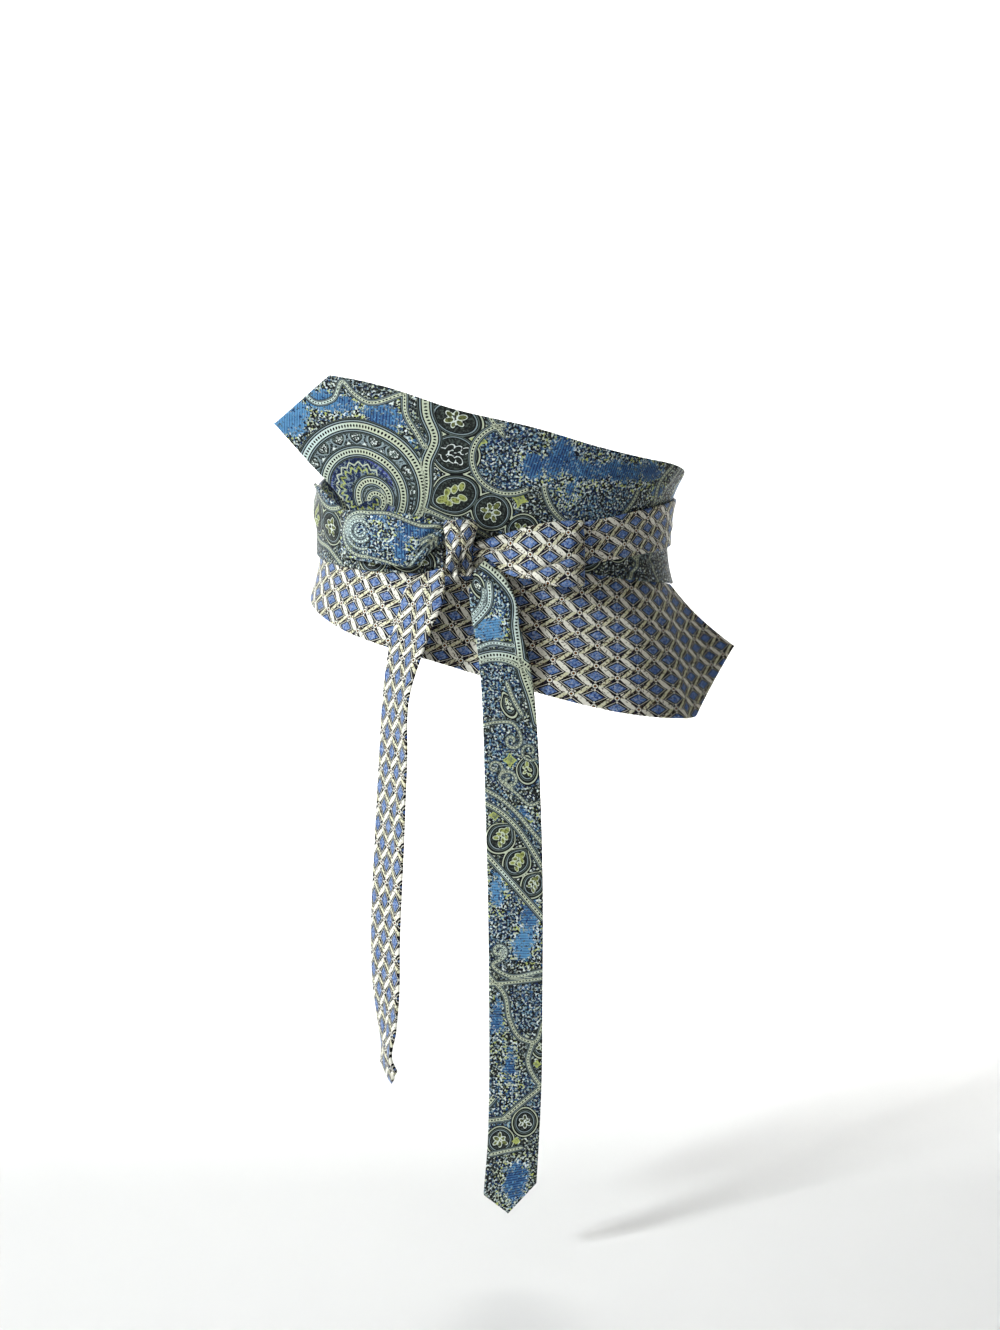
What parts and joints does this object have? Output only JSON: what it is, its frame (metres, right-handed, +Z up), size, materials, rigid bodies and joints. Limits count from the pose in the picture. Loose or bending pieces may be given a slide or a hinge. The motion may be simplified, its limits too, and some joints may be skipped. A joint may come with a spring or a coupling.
{
  "type": "obi belt",
  "caption": "Wide wrap belt of two ties laid edge to edge round a waist, crossed at the back and tied in a front bow with hanging tails.",
  "frame": {"origin": "middle of the waist the belt closes round, at its narrowest height", "axes": "+X to the wearer's left, -Y out of the front where the bow is, +Z up"},
  "size_m": [0.3111, 0.2403, 0.5517],
  "materials": {
    "paisley_silk": "woven silk with a soft sheen, blue ground and olive and cream paisley figures",
    "diamond_silk": "printed silk twill with a soft sheen, small blue diamonds between cream zigzag bands"
  },
  "bodies": {
    "root": {"upper_tie_blade": "paisley_silk", "upper_tie_back": "paisley_silk", "upper_tie_wrap": "paisley_silk", "lower_tie_blade": "diamond_silk", "lower_tie_back": "diamond_silk", "lower_tie_wrap": "diamond_silk", "left_loop": "paisley_silk", "right_loop": "diamond_silk", "knot": "diamond_silk", "left_tail": "diamond_silk", "right_tail": "paisley_silk"}
  },
  "joints": []
}
